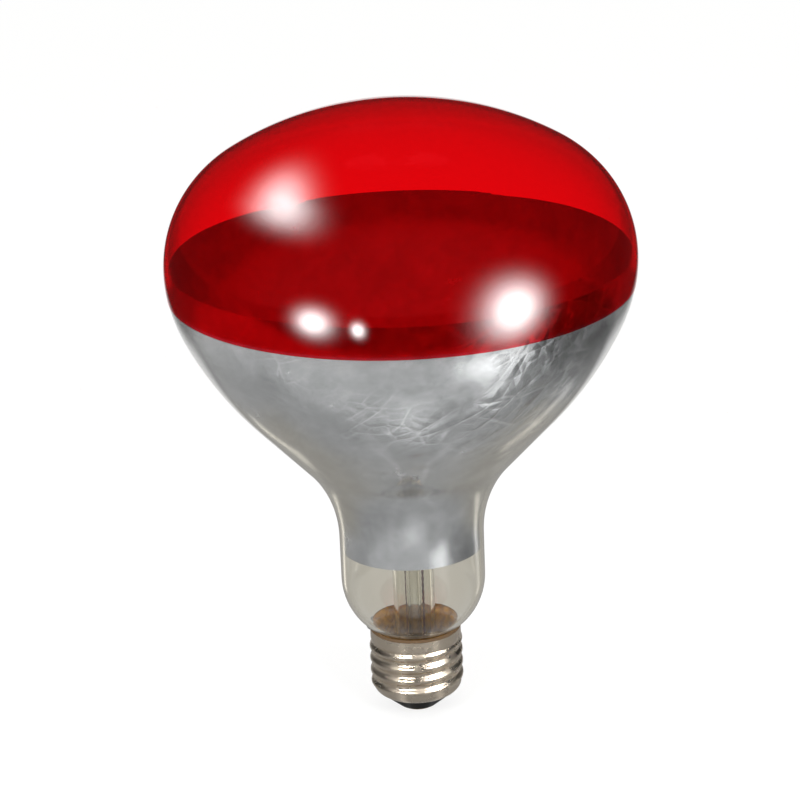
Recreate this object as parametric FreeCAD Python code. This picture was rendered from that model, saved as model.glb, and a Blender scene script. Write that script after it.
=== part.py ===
"""Reflector heat lamp: a blown glass bulb with a red face and a mirrored back, on a screw base.

Millimetres. The lamp's axis is Z. The origin is the tip of the centre contact, and +Z runs up the axis
to the crown of the bulb. Azimuths are in degrees about the axis, from +X towards +Y, and the front is -Y.
"""

import FreeCAD, Part
import math
import os

from FreeCAD import Vector

# Screw shell: sheet metal with a rolled thread, a plain collar above it and a foot curled in below it
RIM_Z = 24.8
FOOT_Z = 5.4
SHEET = 0.35
THREAD_DIAMETER = 26.2
THREAD_DEPTH = 0.84
THREAD_PITCH = 3.629
THREAD_RUN_OUT = 1.2
LOWEST_CREST_ABOVE_FOOT = 3.8
LOWEST_CREST_AZIMUTH = -90.0
COLLAR_HEIGHT = 2.9
COLLAR_BELOW_CREST = 0.35
FOOT_CURL_HEIGHT = 3.3
FOOT_CURL_DEPTH = 2.2
POINTS_PER_TURN = 24
POINTS_PER_PITCH = 12

# Black glass insulator, and the centre contact with its drop of solder
SOLDER_DIAMETER = 6.4
SOLDER_HEIGHT = 0.6
CONTACT_DIAMETER = 9.4
CONTACT_SHEET = 0.4
EYELET_DIAMETER = 3.0
EYELET_WALL = 0.35
EYELET_SINK = 1.4
INSULATOR_LIP = 0.7
INSULATOR_PLUG = 2.2

# Blown glass bulb: tangent arcs from the base up to the crown
GLASS_WALL = 1.0
CEMENT_GAP = 0.91
SEAL_ABOVE_INSULATOR = 6.4
SEAL_FILLET = 2.5
SHOULDER_RADIUS = 18.3
NECK_DIAMETER = 40.2
NECK_LENGTH = 12.5
NECK_FILLET = 32.9
CONE_LENGTH = 20.0
BOWL_LOWER_RADIUS = 99.0
BOWL_UPPER_RADIUS = 38.6
BOWL_UPPER_SWEEP = 24.8
BULB_DIAMETER = 127.0
KNUCKLE_RADIUS = 34.2
CROWN_RADIUS = 90.7

# Coats on the glass, each drawn far thicker than the real film
MIRROR_THICKNESS = 0.15
MIRROR_EDGE_ABOVE_EQUATOR = 2.0
MIRROR_REACH_INTO_NECK = 3.2
LACQUER_THICKNESS = 0.15
LACQUER_EDGE_BELOW_EQUATOR = 6.5

# Basing cement between the glass and the shell
CEMENT_ABOVE_SEAL = 1.0

# Glass stem: flared tube, press, exhaust tube, and an arbor with its button
STEM_DIAMETER = 11.6
STEM_WALL = 1.0
PRESS_AZIMUTH = -45.0
PRESS_WIDTH = 13.0
PRESS_THICKNESS = 4.6
PRESS_HEIGHT = 14.0
PRESS_TAPER = 6.0
PRESS_CORNER = 1.6
EXHAUST_DIAMETER = 4.0
EXHAUST_WALL = 0.7
EXHAUST_TAIL = 2.0
ARBOR_DIAMETER = 3.0
ARBOR_LENGTH = 14.0
BUTTON_DIAMETER = 6.0
BUTTON_HEIGHT = 4.0

# Filament: a coil hung as an open ring between the two inner leads and the support wires
FILAMENT_BELOW_EQUATOR = 38.0
FILAMENT_ABOVE_BUTTON = 10.0
FILAMENT_RING_RADIUS = 15.0
FILAMENT_COIL_DIAMETER = 1.2
FILAMENT_SPANS = 4
FILAMENT_SPAN_ANGLE = 60.0
FILAMENT_BEND = 2.5

# Wires
SEAL_WIRE_DIAMETER = 0.6
SEAL_WIRE_STUB = 1.5
INNER_LEAD_DIAMETER = 0.9
INNER_LEAD_RISE = 6.0
OUTER_LEAD_DIAMETER = 0.7
SIDE_LEAD_DIAMETER = 0.4
SIDE_LEAD_AZIMUTH = 165.0
SIDE_SOLDER_RADIUS = 1.5
SIDE_SOLDER_DROP = 1.0
SUPPORT_WIRE_DIAMETER = 0.5
SUPPORT_EMBED = 1.6
HOOK_TURN = 250.0
WIRE_BEND = 1.5

# Clearances between pieces that seat on each other
FIT = 0.05
RIM_ROOM = 0.2

AXIS = Vector(0, 0, 1)
CENTRE = Vector(0, 0, 0)


def in_section(radius, height):
    """A point of a half section, in the XZ plane."""
    return Vector(radius, 0, height)


def section_direction(angle):
    """A unit step of a half section, at an angle in degrees above the outward direction."""
    turn = math.radians(angle)
    return Vector(math.cos(turn), 0, math.sin(turn))


def on_ring(radius, azimuth, height):
    """A point at a radius and azimuth about the axis."""
    turn = math.radians(azimuth)
    return Vector(radius * math.cos(turn), radius * math.sin(turn), height)


def line(start, end):
    return Part.LineSegment(start, end).toShape()


def section_arc(centre, radius, start, end):
    """An arc of a half section, by its centre, radius and two angles in degrees."""
    points = [centre + section_direction(angle) * radius for angle in (start, (start + end) / 2, end)]
    return Part.Arc(*points).toShape()


def revolved(edges):
    """A solid of revolution from a closed half section."""
    return Part.Face(Part.Wire(edges)).revolve(CENTRE, AXIS, 360)


def polygon_revolved(*corners):
    """A solid of revolution from a half section of straight edges."""
    points = [in_section(*corner) for corner in corners]
    return revolved([line(a, b) for a, b in zip(points, points[1:] + points[:1])])


def disc(radius, low, high):
    return Part.makeCylinder(radius, high - low, Vector(0, 0, low))


def round_sweep(edges, diameter):
    """A round wire along a chain of edges."""
    path = Part.Wire(edges)
    first = path.OrderedEdges[0]
    origin = first.valueAt(first.FirstParameter)
    direction = first.tangentAt(first.FirstParameter)
    circle = Part.Wire([Part.Circle(origin, direction, diameter / 2).toShape()])
    return path.makePipeShell([circle], True, True)


def bent_wire(points, diameter, bend):
    """A round wire along straight runs, with a tangent arc of the bend radius at each inner point."""
    edges = []
    start = points[0]
    for before, corner, after in zip(points, points[1:], points[2:]):
        into = (corner - before).normalize()
        out = (after - corner).normalize()
        half_turn = into.getAngle(out) / 2
        setback = bend * math.tan(half_turn)
        arc_start = corner - into * setback
        arc_end = corner + out * setback
        middle = corner + (out - into).normalize() * (bend / math.cos(half_turn) - bend)
        edges.append(line(start, arc_start))
        edges.append(Part.Arc(arc_start, middle, arc_end).toShape())
        start = arc_end
    edges.append(line(start, points[-1]))
    return round_sweep(edges, diameter)


# Levels and radii of the base

collar_radius = THREAD_DIAMETER / 2 - COLLAR_BELOW_CREST
collar_bore = collar_radius - SHEET
thread_mid_radius = (THREAD_DIAMETER - THREAD_DEPTH) / 2
thread_root_bore = THREAD_DIAMETER / 2 - THREAD_DEPTH - SHEET
foot_radius = thread_mid_radius - FOOT_CURL_DEPTH
contact_top_z = SOLDER_HEIGHT + CONTACT_SHEET
insulator_top_z = FOOT_Z + INSULATOR_PLUG
eyelet_radius = EYELET_DIAMETER / 2
eyelet_bore = eyelet_radius - EYELET_WALL
eyelet_top_z = insulator_top_z - EYELET_SINK

# Outline of the bulb: the centre of each arc and the angles at which they meet

bulb_radius = BULB_DIAMETER / 2
neck_radius = NECK_DIAMETER / 2
seal_radius = thread_root_bore - CEMENT_GAP
seal_z = insulator_top_z + SEAL_ABOVE_INSULATOR

shoulder_inset = neck_radius - SHOULDER_RADIUS
shoulder_reach = SHOULDER_RADIUS + SEAL_FILLET
shoulder_angle = math.degrees(math.acos((seal_radius + SEAL_FILLET - shoulder_inset) / shoulder_reach))
shoulder_foot_z = RIM_Z + SIDE_LEAD_DIAMETER + RIM_ROOM
shoulder_z = shoulder_foot_z + SHOULDER_RADIUS * math.sin(math.radians(shoulder_angle))
shoulder_centre = in_section(shoulder_inset, shoulder_z)
seal_fillet_centre = shoulder_centre + section_direction(-shoulder_angle) * shoulder_reach

# The cone's slope is what closes the radial run from the neck out to the equator
bowl_step = BOWL_LOWER_RADIUS - BOWL_UPPER_RADIUS
upper_run = BOWL_UPPER_RADIUS + bowl_step * section_direction(-BOWL_UPPER_SWEEP).x
closing_run = neck_radius + NECK_FILLET - bulb_radius + upper_run
arcs_radius = BOWL_LOWER_RADIUS + NECK_FILLET
cone_angle = math.degrees(
    math.acos(closing_run / math.hypot(arcs_radius, CONE_LENGTH)) - math.atan2(CONE_LENGTH, arcs_radius)
)
cone_normal = section_direction(-cone_angle)
cone_rise = Vector(-cone_normal.z, 0, cone_normal.x)

neck_top_z = shoulder_z + NECK_LENGTH
neck_fillet_centre = in_section(neck_radius + NECK_FILLET, neck_top_z)
cone_foot = neck_fillet_centre - cone_normal * NECK_FILLET
cone_top = cone_foot + cone_rise * CONE_LENGTH
lower_bowl_centre = cone_top - cone_normal * BOWL_LOWER_RADIUS
upper_bowl_centre = lower_bowl_centre + section_direction(-BOWL_UPPER_SWEEP) * bowl_step
equator_z = upper_bowl_centre.z

knuckle_centre = in_section(bulb_radius - KNUCKLE_RADIUS, equator_z)
crown_drop = math.sqrt((CROWN_RADIUS - KNUCKLE_RADIUS) ** 2 - knuckle_centre.x**2)
crown_centre = in_section(0, equator_z - crown_drop)
crown_z = crown_centre.z + CROWN_RADIUS
knuckle_angle = math.degrees(math.atan2(crown_drop, knuckle_centre.x))

# Levels of the stem and filament

stem_radius = STEM_DIAMETER / 2
stem_bore = stem_radius - STEM_WALL
flare_radius = seal_radius - GLASS_WALL - stem_radius
flare_rim_z = seal_z - STEM_WALL
filament_z = equator_z - FILAMENT_BELOW_EQUATOR
button_z = filament_z - FILAMENT_ABOVE_BUTTON - BUTTON_HEIGHT / 2
press_top_z = button_z - BUTTON_HEIGHT / 2 - ARBOR_LENGTH
press_foot_z = press_top_z - PRESS_HEIGHT
exhaust_radius = EXHAUST_DIAMETER / 2
exhaust_tip_z = flare_rim_z - EXHAUST_TAIL
lead_radius = (exhaust_radius + stem_bore) / 2
lead_foot_z = press_foot_z - SEAL_WIRE_STUB
lead_azimuths = {"centre": PRESS_AZIMUTH, "side": PRESS_AZIMUTH + 180}
gap_azimuth = PRESS_AZIMUTH + 90
half_gap = (360 - FILAMENT_SPANS * FILAMENT_SPAN_ANGLE) / 2
filament_ends = {"centre": gap_azimuth - half_gap, "side": gap_azimuth + half_gap}
support_azimuths = [filament_ends["side"] + FILAMENT_SPAN_ANGLE * n for n in range(1, FILAMENT_SPANS)]


# Glass bulb and its coats

def bulb_body(inset, bottom=seal_z):
    """The bulb's outline, moved in by the inset, as a filled solid down to the bottom height."""
    neck = neck_radius - inset
    seal = seal_radius - inset
    return revolved(
        [
            section_arc(crown_centre, CROWN_RADIUS - inset, 90, knuckle_angle),
            section_arc(knuckle_centre, KNUCKLE_RADIUS - inset, knuckle_angle, 0),
            section_arc(upper_bowl_centre, BOWL_UPPER_RADIUS - inset, 0, -BOWL_UPPER_SWEEP),
            section_arc(lower_bowl_centre, BOWL_LOWER_RADIUS - inset, -BOWL_UPPER_SWEEP, -cone_angle),
            line(cone_top - cone_normal * inset, cone_foot - cone_normal * inset),
            section_arc(neck_fillet_centre, NECK_FILLET + inset, 180 - cone_angle, 180),
            line(in_section(neck, neck_top_z), in_section(neck, shoulder_z)),
            section_arc(shoulder_centre, SHOULDER_RADIUS - inset, 0, -shoulder_angle),
            section_arc(seal_fillet_centre, SEAL_FILLET + inset, 180 - shoulder_angle, 180),
            line(in_section(seal, seal_fillet_centre.z), in_section(seal, bottom)),
            line(in_section(seal, bottom), in_section(0, bottom)),
            line(in_section(0, bottom), in_section(0, crown_z - inset)),
        ]
    )


def glass_envelope():
    """Blown bulb, open at the foot of its neck, where the stem is sealed in."""
    return bulb_body(0).cut(bulb_body(GLASS_WALL, seal_z - GLASS_WALL))


def mirror_coat():
    """Aluminium film on the inside of the bowl, from just above the equator into the neck."""
    film = bulb_body(GLASS_WALL).cut(bulb_body(GLASS_WALL + MIRROR_THICKNESS))
    low = neck_top_z - MIRROR_REACH_INTO_NECK
    high = equator_z + MIRROR_EDGE_ABOVE_EQUATOR
    return film.common(disc(BULB_DIAMETER, low, high))


def red_lacquer():
    """Red lacquer on the outside of the face, down to a ring just below the equator."""
    film = bulb_body(-LACQUER_THICKNESS).cut(bulb_body(0))
    low = equator_z - LACQUER_EDGE_BELOW_EQUATOR
    return film.common(disc(BULB_DIAMETER, low, crown_z + BULB_DIAMETER))


# Screw shell

def smooth_step(value, start, end):
    """From 0 at the start to 1 at the end, level at both."""
    share = min(1.0, max(0.0, (value - start) / (end - start)))
    return share * share * (3 - 2 * share)


def rolled_wave(turns):
    """Height of the rolled thread, from -1 to 1: equal crest and root arcs that meet in tangency."""
    quarter = THREAD_PITCH / 4
    half_depth = THREAD_DEPTH / 2
    arc_radius = (quarter**2 + half_depth**2) / (2 * half_depth)
    along = (turns - math.floor(turns)) * THREAD_PITCH
    from_crest = min(along, THREAD_PITCH - along)
    side = 1
    if from_crest > quarter:
        from_crest = THREAD_PITCH / 2 - from_crest
        side = -1
    rise = math.sqrt(arc_radius**2 - from_crest**2) - (arc_radius - half_depth)
    return side * rise / half_depth


def shell_radius(azimuth, height):
    """Outer radius of the screw shell: the foot's curl, the rolled thread, then the plain collar."""
    curl_radius = (FOOT_CURL_HEIGHT**2 + FOOT_CURL_DEPTH**2) / (2 * FOOT_CURL_DEPTH)
    below_curl = max(0.0, FOOT_Z + FOOT_CURL_HEIGHT - height)
    curl = curl_radius - math.sqrt(curl_radius**2 - below_curl**2)
    collar_foot = RIM_Z - COLLAR_HEIGHT
    to_collar = smooth_step(height, collar_foot - THREAD_RUN_OUT, collar_foot)
    lowest_crest = FOOT_Z + LOWEST_CREST_ABOVE_FOOT
    to_thread = smooth_step(height, lowest_crest - 2 * THREAD_RUN_OUT, lowest_crest)
    plain = thread_mid_radius + (collar_radius - thread_mid_radius) * to_collar - curl
    turns = (height - lowest_crest) / THREAD_PITCH - (azimuth - LOWEST_CREST_AZIMUTH) / 360
    return plain + THREAD_DEPTH / 2 * rolled_wave(turns) * to_thread * (1 - to_collar)


def threaded_wall(inset):
    """The shell's wall at an inset, as one face that closes on itself."""
    rows = math.ceil((RIM_Z - FOOT_Z) / THREAD_PITCH * POINTS_PER_PITCH)
    grid = []
    for step in range(POINTS_PER_TURN + 1):
        azimuth = 360 * (step % POINTS_PER_TURN) / POINTS_PER_TURN
        heights = [FOOT_Z + (RIM_Z - FOOT_Z) * row / rows for row in range(rows + 1)]
        grid.append([on_ring(shell_radius(azimuth, height) - inset, azimuth, height) for height in heights])
    surface = Part.BSplineSurface()
    surface.interpolate(grid)
    return surface.toShape()


def end_ring(walls, height):
    """The flat ring that joins the shell's two walls at one end."""
    wires = []
    for wall in walls:
        boxes = [(edge, edge.BoundBox) for edge in wall.Edges]
        level = [edge for edge, box in boxes if box.ZLength < FIT and abs(box.ZMin - height) < FIT]
        wires.append(Part.Wire(level))
    return Part.Face(wires)


def screw_shell():
    """Thin sheet with the thread rolled through it, so that it shows inside and out."""
    walls = [threaded_wall(0), threaded_wall(SHEET)]
    shell = Part.makeShell([*walls, end_ring(walls, FOOT_Z), end_ring(walls, RIM_Z)])
    shell.sewShape()
    solid = Part.Solid(shell)
    solid.fix(1e-4, 1e-5, 1e-3)
    return solid


# Base fittings

def base_insulator():
    """Black glass that closes the shell's foot and holds the contact away from it."""
    lip_radius = CONTACT_DIAMETER / 2 + INSULATOR_LIP
    plug_radius = foot_radius - SHEET - 2 * FIT
    body = polygon_revolved(
        (eyelet_radius, contact_top_z),
        (lip_radius, contact_top_z),
        (foot_radius, FOOT_Z - FIT),
        (plug_radius, FOOT_Z - FIT),
        (plug_radius, insulator_top_z),
        (eyelet_radius, insulator_top_z),
    )
    foot_edges = [e for e in body.Edges if abs(e.BoundBox.ZMax - contact_top_z) < FIT]
    lip = [e for e in foot_edges if e.BoundBox.XMax > lip_radius - FIT]
    return body.makeFillet(INSULATOR_LIP / 2, lip)


def centre_contact():
    """Brass eyelet: a flat washer under the insulator with a tube up through it."""
    return polygon_revolved(
        (eyelet_bore, SOLDER_HEIGHT),
        (CONTACT_DIAMETER / 2, SOLDER_HEIGHT),
        (CONTACT_DIAMETER / 2, contact_top_z),
        (eyelet_radius, contact_top_z),
        (eyelet_radius, eyelet_top_z),
        (eyelet_bore, eyelet_top_z),
    )


def centre_solder():
    """Drop of solder under the contact, with a plug in the eyelet that meets the lead."""
    half = SOLDER_DIAMETER / 2
    drop_radius = (half**2 + SOLDER_HEIGHT**2) / (2 * SOLDER_HEIGHT)
    spread = math.degrees(math.asin(half / drop_radius))
    return revolved(
        [
            section_arc(in_section(0, drop_radius), drop_radius, -90, spread - 90),
            line(in_section(half, SOLDER_HEIGHT), in_section(eyelet_bore, SOLDER_HEIGHT)),
            line(in_section(eyelet_bore, SOLDER_HEIGHT), in_section(eyelet_bore, contact_top_z)),
            line(in_section(eyelet_bore, contact_top_z), in_section(0, contact_top_z)),
            line(in_section(0, contact_top_z), CENTRE),
        ]
    )


def basing_cement():
    """Ring of cement that holds the glass in the shell and fills the corner over the rim."""
    step_z = RIM_Z - COLLAR_HEIGHT + FIT
    over_rim = disc(collar_radius, RIM_Z + FIT, shoulder_z)
    in_collar = disc(collar_bore - FIT, step_z, RIM_Z + FIT)
    in_thread = disc(thread_root_bore - FIT, seal_z + CEMENT_ABOVE_SEAL, step_z)
    ring = in_collar.fuse([in_thread, over_rim]).cut(bulb_body(0))
    return ring.cut([outer_lead_side(), side_solder()]).removeSplitter()


def side_solder():
    """Bead of solder over the end of the side lead, on the outside of the collar and over its rim."""
    centre = on_ring(collar_radius, SIDE_LEAD_AZIMUTH, RIM_Z - SIDE_SOLDER_DROP)
    bead = Part.makeSphere(SIDE_SOLDER_RADIUS, centre, on_ring(1, SIDE_LEAD_AZIMUTH, 0))
    collar = disc(collar_radius + FIT, 0, RIM_Z + FIT)
    return bead.cut(collar).cut(bulb_body(0)).cut(outer_lead_side())


# Stem

def press_corners():
    """The press's outline from above: its half sizes to the corner centres, and its corner radius."""
    corner = min(PRESS_CORNER, 0.45 * PRESS_THICKNESS)
    return PRESS_WIDTH / 2 - corner, PRESS_THICKNESS / 2 - corner, corner


def press_section(height):
    """The press's flat outline, as a round corner and a straight side four times over."""
    far, near, corner = press_corners()
    arcs = []
    for x_side, y_side, start in ((1, 1, 0), (-1, 1, 90), (-1, -1, 180), (1, -1, 270)):
        centre = Vector(x_side * far, y_side * near, height)
        points = [centre + on_ring(corner, start + turn, 0) for turn in (0, 45, 90)]
        arcs.append(Part.Arc(*points))
    edges = []
    for arc, following in zip(arcs, arcs[1:] + arcs[:1]):
        edges.append(arc.toShape())
        edges.append(line(arc.EndPoint, following.StartPoint))
    return Part.Wire(edges)


def tube_section(height):
    """The tube's outline in eight arcs that face the press's corners and sides."""
    far, near, _ = press_corners()
    low = math.degrees(math.atan2(near, PRESS_WIDTH / 2))
    high = math.degrees(math.atan2(PRESS_THICKNESS / 2, far))
    splits = [low, high, 180 - high, 180 - low, 180 + low, 180 + high, 360 - high, 360 - low]
    edges = []
    for start, end in zip(splits, splits[1:] + [360 + low]):
        points = [on_ring(stem_radius, azimuth, height) for azimuth in (start, (start + end) / 2, end)]
        edges.append(Part.Arc(*points).toShape())
    return Part.Wire(edges)


def stem_flare():
    """Flared glass tube, pressed flat round the seal wires at its top."""
    flare_centre = in_section(stem_radius + flare_radius, seal_z + flare_radius)
    tube = revolved(
        [
            line(in_section(seal_radius, seal_z), in_section(flare_centre.x, seal_z)),
            section_arc(flare_centre, flare_radius, 270, 180),
            line(in_section(stem_radius, flare_centre.z), in_section(stem_radius, press_foot_z)),
            line(in_section(stem_radius, press_foot_z), in_section(stem_bore, press_foot_z)),
            line(in_section(stem_bore, press_foot_z), in_section(stem_bore, flare_centre.z)),
            section_arc(flare_centre, flare_radius + STEM_WALL, 180, 270),
            line(in_section(flare_centre.x, flare_rim_z), in_section(seal_radius, flare_rim_z)),
            line(in_section(seal_radius, flare_rim_z), in_section(seal_radius, seal_z)),
        ]
    )
    blade_foot = press_foot_z + PRESS_TAPER
    taper = Part.makeLoft([tube_section(press_foot_z), press_section(blade_foot)], True)
    blade = Part.Face(press_section(blade_foot)).extrude(AXIS * (PRESS_HEIGHT - PRESS_TAPER))
    press = taper.fuse(blade)
    press.rotate(CENTRE, AXIS, PRESS_AZIMUTH)
    for azimuth in lead_azimuths.values():
        press = press.cut(seal_wire(azimuth))
    return tube.fuse(press).removeSplitter()


def exhaust_tube():
    """Glass tube that the air was drawn out through, closed to a round tip below."""
    bore = exhaust_radius - EXHAUST_WALL
    tip_centre = in_section(0, exhaust_tip_z + exhaust_radius)
    return revolved(
        [
            line(in_section(bore, press_foot_z), in_section(exhaust_radius, press_foot_z)),
            line(in_section(exhaust_radius, press_foot_z), in_section(exhaust_radius, tip_centre.z)),
            section_arc(tip_centre, exhaust_radius, 0, -90),
            line(in_section(0, exhaust_tip_z), in_section(0, exhaust_tip_z + EXHAUST_WALL)),
            section_arc(tip_centre, bore, -90, 0),
            line(in_section(bore, tip_centre.z), in_section(bore, press_foot_z)),
        ]
    )


def stem_arbor():
    """Glass rod on the press, with a round button that holds the support wires."""
    rod = ARBOR_DIAMETER / 2
    button_foot = in_section(rod, button_z - BUTTON_HEIGHT / 2)
    button_top = in_section(rod, button_z + BUTTON_HEIGHT / 2)
    button_side = in_section(BUTTON_DIAMETER / 2, button_z)
    arbor = revolved(
        [
            line(in_section(0, press_top_z), in_section(rod, press_top_z)),
            line(in_section(rod, press_top_z), button_foot),
            Part.Arc(button_foot, button_side, button_top).toShape(),
            line(button_top, in_section(0, button_top.z)),
            line(in_section(0, button_top.z), in_section(0, press_top_z)),
        ]
    )
    for azimuth in support_azimuths:
        arbor = arbor.cut(support_wire(azimuth))
    return arbor


# Wires and filament

def seal_wire(azimuth):
    """A wire through the press, with a stub below and above it."""
    foot = on_ring(lead_radius, azimuth, lead_foot_z)
    return Part.makeCylinder(SEAL_WIRE_DIAMETER / 2, PRESS_HEIGHT + 2 * SEAL_WIRE_STUB, foot)


def outer_lead_centre():
    """Copper lead from the press down beside the exhaust tube and through the eyelet to the solder."""
    azimuth = lead_azimuths["centre"]
    return bent_wire(
        [
            on_ring(lead_radius, azimuth, lead_foot_z),
            on_ring(lead_radius, azimuth, exhaust_tip_z - OUTER_LEAD_DIAMETER),
            Vector(0, 0, insulator_top_z + OUTER_LEAD_DIAMETER),
            Vector(0, 0, contact_top_z),
        ],
        OUTER_LEAD_DIAMETER,
        WIRE_BEND,
    )


def outer_lead_side():
    """Copper lead from the press, round the flare's rim, up through the cement and over the shell's rim."""
    half = SIDE_LEAD_DIAMETER / 2
    in_cement = (seal_radius + thread_root_bore - FIT) / 2
    inside_collar = collar_bore - FIT - half
    outside_collar = collar_radius + FIT / 2 + half
    over_rim = RIM_Z + FIT / 2 + half
    return bent_wire(
        [
            on_ring(lead_radius, lead_azimuths["side"], lead_foot_z),
            on_ring(lead_radius, lead_azimuths["side"], flare_rim_z),
            on_ring(in_cement, SIDE_LEAD_AZIMUTH, flare_rim_z - STEM_WALL),
            on_ring(in_cement, SIDE_LEAD_AZIMUTH, seal_fillet_centre.z - half),
            on_ring(inside_collar, SIDE_LEAD_AZIMUTH, over_rim),
            on_ring(outside_collar, SIDE_LEAD_AZIMUTH, over_rim),
            on_ring(outside_collar, SIDE_LEAD_AZIMUTH, RIM_Z - SIDE_SOLDER_DROP),
        ],
        SIDE_LEAD_DIAMETER,
        half + FIT,
    )


def inner_lead(azimuth, end_azimuth):
    """Nickel lead from the press up and out to one end of the filament."""
    foot_z = press_top_z + SEAL_WIRE_STUB
    tip_z = filament_z - FILAMENT_COIL_DIAMETER / 2 - FIT
    return bent_wire(
        [
            on_ring(lead_radius, azimuth, foot_z),
            on_ring(lead_radius, azimuth, foot_z + INNER_LEAD_RISE),
            on_ring(FILAMENT_RING_RADIUS, end_azimuth, tip_z - INNER_LEAD_RISE),
            on_ring(FILAMENT_RING_RADIUS, end_azimuth, tip_z),
        ],
        INNER_LEAD_DIAMETER,
        WIRE_BEND,
    )


def filament():
    """Tungsten coil, as the round outline of its turns, with its two ends run past the leads."""
    azimuths = [filament_ends["side"], *support_azimuths, filament_ends["centre"]]
    points = [on_ring(FILAMENT_RING_RADIUS, azimuth, filament_z) for azimuth in azimuths]
    for end, beside in ((0, 1), (-1, -2)):
        points[end] = points[end] + (points[end] - points[beside]).normalize() * INNER_LEAD_DIAMETER
    return bent_wire(points, FILAMENT_COIL_DIAMETER, FILAMENT_BEND)


def support_wire(azimuth):
    """Molybdenum wire from the button to a hook round the coil at one corner of the filament."""
    hook_radius = FILAMENT_COIL_DIAMETER / 2 + FIT + SUPPORT_WIRE_DIAMETER / 2
    half_turn = math.radians(FILAMENT_SPAN_ANGLE / 2)
    coil = in_section(FILAMENT_RING_RADIUS - FILAMENT_BEND * (1 / math.cos(half_turn) - 1), filament_z)
    root = in_section(BUTTON_DIAMETER / 2 - SUPPORT_EMBED, button_z)
    to_root = root - coil
    tangent = math.degrees(math.atan2(to_root.z, to_root.x) + math.acos(hook_radius / to_root.Length))
    hook = section_arc(coil, hook_radius, tangent, tangent + HOOK_TURN)
    shank = line(root, coil + section_direction(tangent) * hook_radius)
    wire = round_sweep([shank, hook], SUPPORT_WIRE_DIAMETER)
    wire.rotate(CENTRE, AXIS, azimuth)
    return wire


nodes = {
    "glass_envelope": glass_envelope(),
    "mirror_coat": mirror_coat(),
    "red_lacquer": red_lacquer(),
    "screw_shell": screw_shell(),
    "base_insulator": base_insulator(),
    "centre_contact": centre_contact(),
    "centre_solder": centre_solder(),
    "side_solder": side_solder(),
    "basing_cement": basing_cement(),
    "stem_flare": stem_flare(),
    "exhaust_tube": exhaust_tube(),
    "stem_arbor": stem_arbor(),
    "outer_lead_centre": outer_lead_centre(),
    "outer_lead_side": outer_lead_side(),
    "filament": filament(),
}
for name, azimuth in lead_azimuths.items():
    nodes[f"seal_wire_{name}"] = seal_wire(azimuth)
    nodes[f"inner_lead_{name}"] = inner_lead(azimuth, filament_ends[name])
for number, azimuth in enumerate(support_azimuths, start=1):
    nodes[f"support_wire_{number}"] = support_wire(azimuth)

os.makedirs("parts", exist_ok=True)
for node, solid in nodes.items():
    solid.exportStep(f"parts/{node}.step")
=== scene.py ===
"""Looks of a reflector heat lamp: a blown glass bulb with a red face and a mirrored back on a screw base.

Metres. The lamp's axis is Z, with the tip of the centre contact at the origin and the crown up along +Z.
The front is -Y. Azimuths are about the axis, from +X towards +Y.
"""

import math

import bpy
from bpy.props import FloatProperty, FloatVectorProperty, IntProperty, PointerProperty
from bpy.types import Operator, Panel, PropertyGroup
from mathutils import Matrix, Quaternion, Vector


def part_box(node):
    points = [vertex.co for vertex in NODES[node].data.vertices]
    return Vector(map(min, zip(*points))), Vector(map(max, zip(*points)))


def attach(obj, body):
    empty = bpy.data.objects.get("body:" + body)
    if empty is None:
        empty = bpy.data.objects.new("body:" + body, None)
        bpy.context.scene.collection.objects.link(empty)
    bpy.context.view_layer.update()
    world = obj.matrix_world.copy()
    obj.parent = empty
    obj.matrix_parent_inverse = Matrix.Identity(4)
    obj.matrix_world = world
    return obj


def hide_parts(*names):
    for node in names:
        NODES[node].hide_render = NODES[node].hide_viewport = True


bl_info = {
    "name": "Reflector Heat Lamp",
    "version": (1, 0, 0),
    "blender": (4, 5, 0),
    "location": "View3D > Sidebar > Heat Lamp",
    "description": "Dresses the frame of a reflector heat lamp in glass, mirror, lacquer and metal",
    "category": "Add Mesh",
}

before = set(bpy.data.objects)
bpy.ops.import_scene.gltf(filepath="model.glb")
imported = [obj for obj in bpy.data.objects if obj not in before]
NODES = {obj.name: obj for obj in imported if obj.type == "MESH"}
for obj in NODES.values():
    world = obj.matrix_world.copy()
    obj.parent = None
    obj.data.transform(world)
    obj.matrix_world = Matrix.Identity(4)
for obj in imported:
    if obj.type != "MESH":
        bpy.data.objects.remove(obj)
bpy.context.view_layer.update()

MM = 0.001
MERGE_DISTANCE = 1e-6
SKIN_CREASE = math.radians(40)
WIRE_CREASE = math.radians(60)
AXIS = (0.0, 0.0, 1.0)
ORIGIN = (0.0, 0.0, 0.0)


def linear_colour(code):
    """An sRGB hex code as linear red, green and blue, with full alpha."""
    channels = [int(code[start : start + 2], 16) / 255 for start in (1, 3, 5)]
    linear = [c / 12.92 if c <= 0.04045 else ((c + 0.055) / 1.055) ** 2.4 for c in channels]
    return (*linear, 1.0)


def length(name, description, millimetres):
    """A length that is written in millimetres."""
    return FloatProperty(
        name=name, description=description, default=millimetres * MM, unit="LENGTH", precision=5
    )


def angle(name, description, degrees):
    """An angle that is written in degrees."""
    return FloatProperty(
        name=name, description=description, default=math.radians(degrees), subtype="ANGLE"
    )


def count(name, description, default):
    """A count of three or more."""
    return IntProperty(name=name, description=description, default=default, min=3)


def colour(name, description, code):
    """A colour that is written as an sRGB hex code."""
    return FloatVectorProperty(
        name=name, description=description, default=linear_colour(code), size=4, subtype="COLOR", min=0, max=1
    )


# Sizes and colours

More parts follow.
